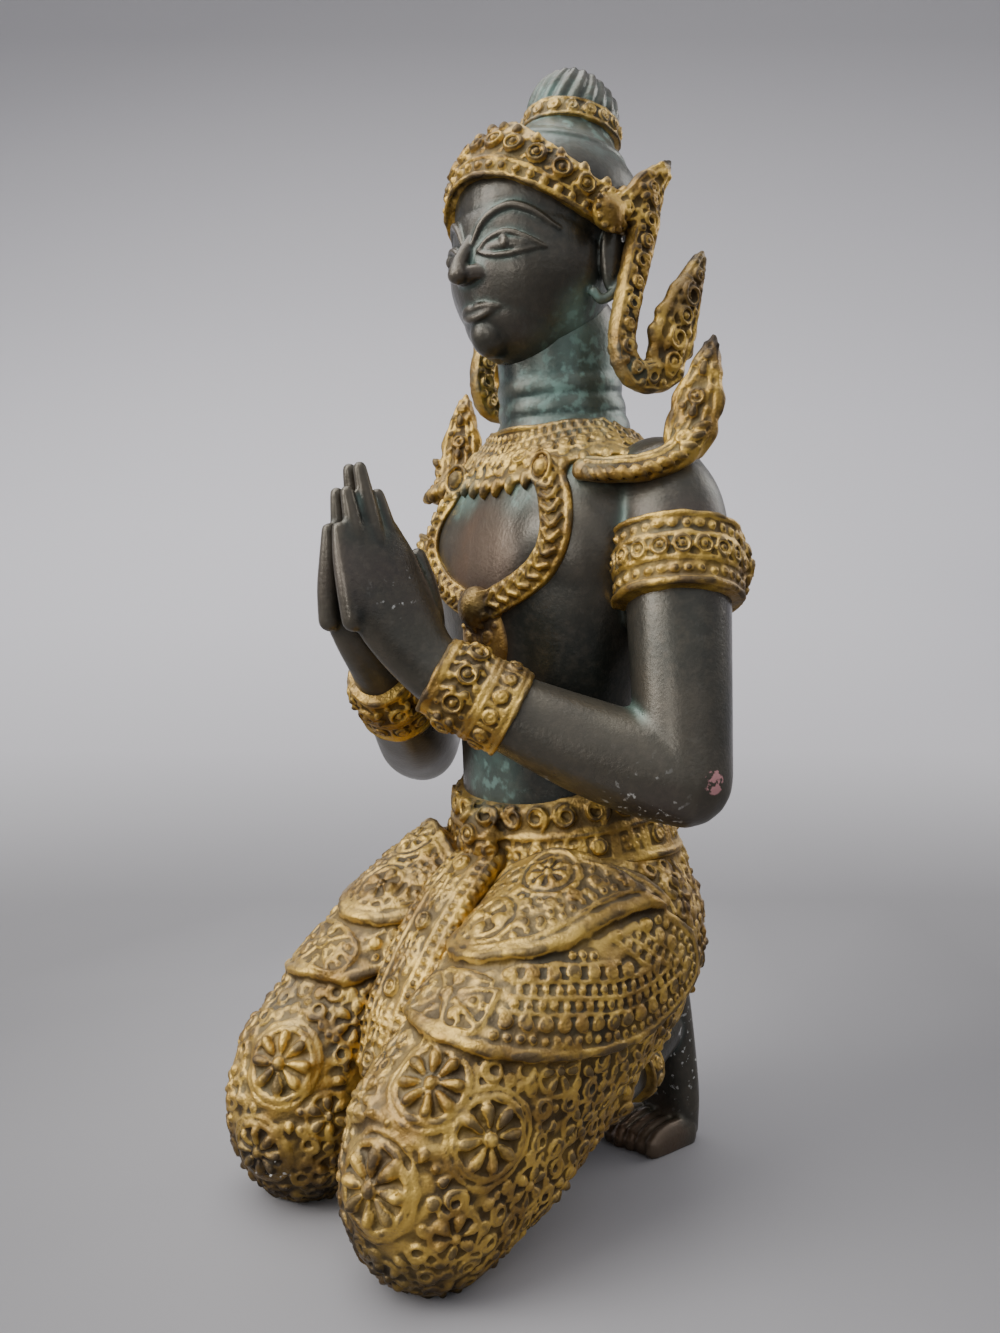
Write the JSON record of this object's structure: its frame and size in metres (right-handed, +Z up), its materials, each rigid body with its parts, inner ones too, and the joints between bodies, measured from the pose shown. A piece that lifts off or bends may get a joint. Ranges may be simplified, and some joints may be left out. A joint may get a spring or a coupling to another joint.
{
  "type": "gilt bronze deity statue",
  "caption": "Kneeling crowned deity in dark cast bronze, palms pressed together, with worn gilding on its tiara, collar, armlets, belt, skirt flaps and trousers.",
  "frame": {"origin": "middle of the figure's box, on the ground that its knees and toes rest on", "axes": "+Z up, the figure faces -Y, its left side is +X"},
  "size_m": [0.1554, 0.1514, 0.3588],
  "materials": {
    "patinated_bronze": "dark brown-green patina, satin, with verdigris in the folds",
    "gilding": "worn gold leaf over bronze, dark in the hollows and on the worn high points"
  },
  "bodies": {
    "root": {"kneeling_figure": "patinated_bronze"}
  },
  "joints": []
}
